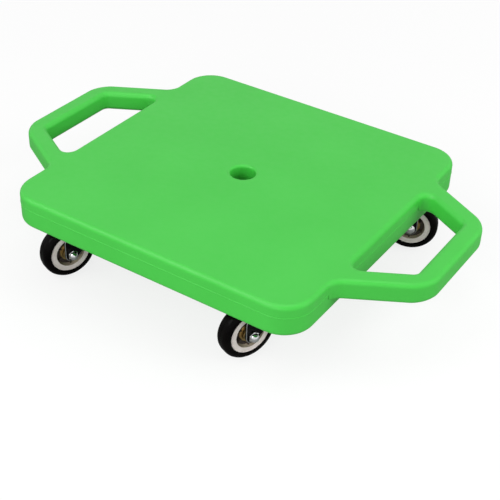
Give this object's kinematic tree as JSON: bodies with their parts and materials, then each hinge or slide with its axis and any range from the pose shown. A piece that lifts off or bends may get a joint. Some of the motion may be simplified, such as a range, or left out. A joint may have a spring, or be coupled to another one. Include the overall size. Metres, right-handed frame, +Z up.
{
  "type": "scooter board",
  "caption": "Low square moulded board with a hand grip past each side and a rope hole in the middle, rolling on swivel casters at its corners.",
  "frame": {"origin": "on the floor under the middle of the deck", "axes": "+X towards the right hand grip, along the line through both grips; +Y to the back of the deck; +Z up"},
  "size_m": [0.443, 0.305, 0.0891],
  "materials": {
    "deck": "smooth semi-matte moulded polyethylene",
    "tyre": "smooth black rubber with a soft sheen",
    "hub": "smooth pale moulded nylon",
    "fork": "glossy black enamel on pressed steel",
    "zinc": "bright zinc plate on steel",
    "chrome": "polished chrome plate"
  },
  "bodies": {
    "deck": {"deck_upper_shell": "deck", "deck_lower_shell": "deck", "front_right_top_plate": "zinc", "front_right_upper_race": "zinc", "front_right_ball_ring": "zinc", "front_right_kingpin": "zinc", "front_right_screw_1": "zinc", "front_right_screw_2": "zinc", "front_right_screw_3": "zinc", "front_right_screw_4": "zinc", "front_left_top_plate": "zinc", "front_left_upper_race": "zinc", "front_left_ball_ring": "zinc", "front_left_kingpin": "zinc", "front_left_screw_1": "zinc", "front_left_screw_2": "zinc", "front_left_screw_3": "zinc", "front_left_screw_4": "zinc", "back_right_top_plate": "zinc", "back_right_upper_race": "zinc", "back_right_ball_ring": "zinc", "back_right_kingpin": "zinc", "back_right_screw_1": "zinc", "back_right_screw_2": "zinc", "back_right_screw_3": "zinc", "back_right_screw_4": "zinc", "back_left_top_plate": "zinc", "back_left_upper_race": "zinc", "back_left_ball_ring": "zinc", "back_left_kingpin": "zinc", "back_left_screw_1": "zinc", "back_left_screw_2": "zinc", "back_left_screw_3": "zinc", "back_left_screw_4": "zinc"},
    "front_right_yoke": {"front_right_fork": "fork", "front_right_axle_bolt": "chrome", "front_right_axle_nut": "chrome", "front_right_axle_sleeve": "zinc"},
    "front_right_wheel": {"front_right_wheel_hub": "hub", "front_right_tyre": "tyre"},
    "front_left_yoke": {"front_left_fork": "fork", "front_left_axle_bolt": "chrome", "front_left_axle_nut": "chrome", "front_left_axle_sleeve": "zinc"},
    "front_left_wheel": {"front_left_wheel_hub": "hub", "front_left_tyre": "tyre"},
    "back_right_yoke": {"back_right_fork": "fork", "back_right_axle_bolt": "chrome", "back_right_axle_nut": "chrome", "back_right_axle_sleeve": "zinc"},
    "back_right_wheel": {"back_right_wheel_hub": "hub", "back_right_tyre": "tyre"},
    "back_left_yoke": {"back_left_fork": "fork", "back_left_axle_bolt": "chrome", "back_left_axle_nut": "chrome", "back_left_axle_sleeve": "zinc"},
    "back_left_wheel": {"back_left_wheel_hub": "hub", "back_left_tyre": "tyre"}
  },
  "joints": [
    {"name": "front_right_swivel", "type": "hinge", "parent": "deck", "child": "front_right_yoke", "pos_m": [0.1, -0.0955, 0.05335], "axis": [0, 0, 1], "continuous": true},
    {"name": "front_right_spin", "type": "hinge", "parent": "front_right_yoke", "child": "front_right_wheel", "pos_m": [0.08828, -0.12312, 0.02617], "axis": [0.9205, -0.3907, 0], "continuous": true},
    {"name": "front_left_swivel", "type": "hinge", "parent": "deck", "child": "front_left_yoke", "pos_m": [-0.1, -0.0955, 0.05335], "axis": [0, 0, 1], "continuous": true},
    {"name": "front_left_spin", "type": "hinge", "parent": "front_left_yoke", "child": "front_left_wheel", "pos_m": [-0.11124, -0.12332, 0.02617], "axis": [0.9272, -0.3746, 0], "continuous": true},
    {"name": "back_right_swivel", "type": "hinge", "parent": "deck", "child": "back_right_yoke", "pos_m": [0.1, 0.0955, 0.05335], "axis": [0, 0, 1], "continuous": true},
    {"name": "back_right_spin", "type": "hinge", "parent": "back_right_yoke", "child": "back_right_wheel", "pos_m": [0.12819, 0.10576, 0.02617], "axis": [-0.342, 0.9397, 0], "continuous": true},
    {"name": "back_left_swivel", "type": "hinge", "parent": "deck", "child": "back_left_yoke", "pos_m": [-0.1, 0.0955, 0.05335], "axis": [0, 0, 1], "continuous": true},
    {"name": "back_left_spin", "type": "hinge", "parent": "back_left_yoke", "child": "back_left_wheel", "pos_m": [-0.08876, 0.12332, 0.02617], "axis": [-0.9272, 0.3746, 0], "continuous": true}
  ]
}
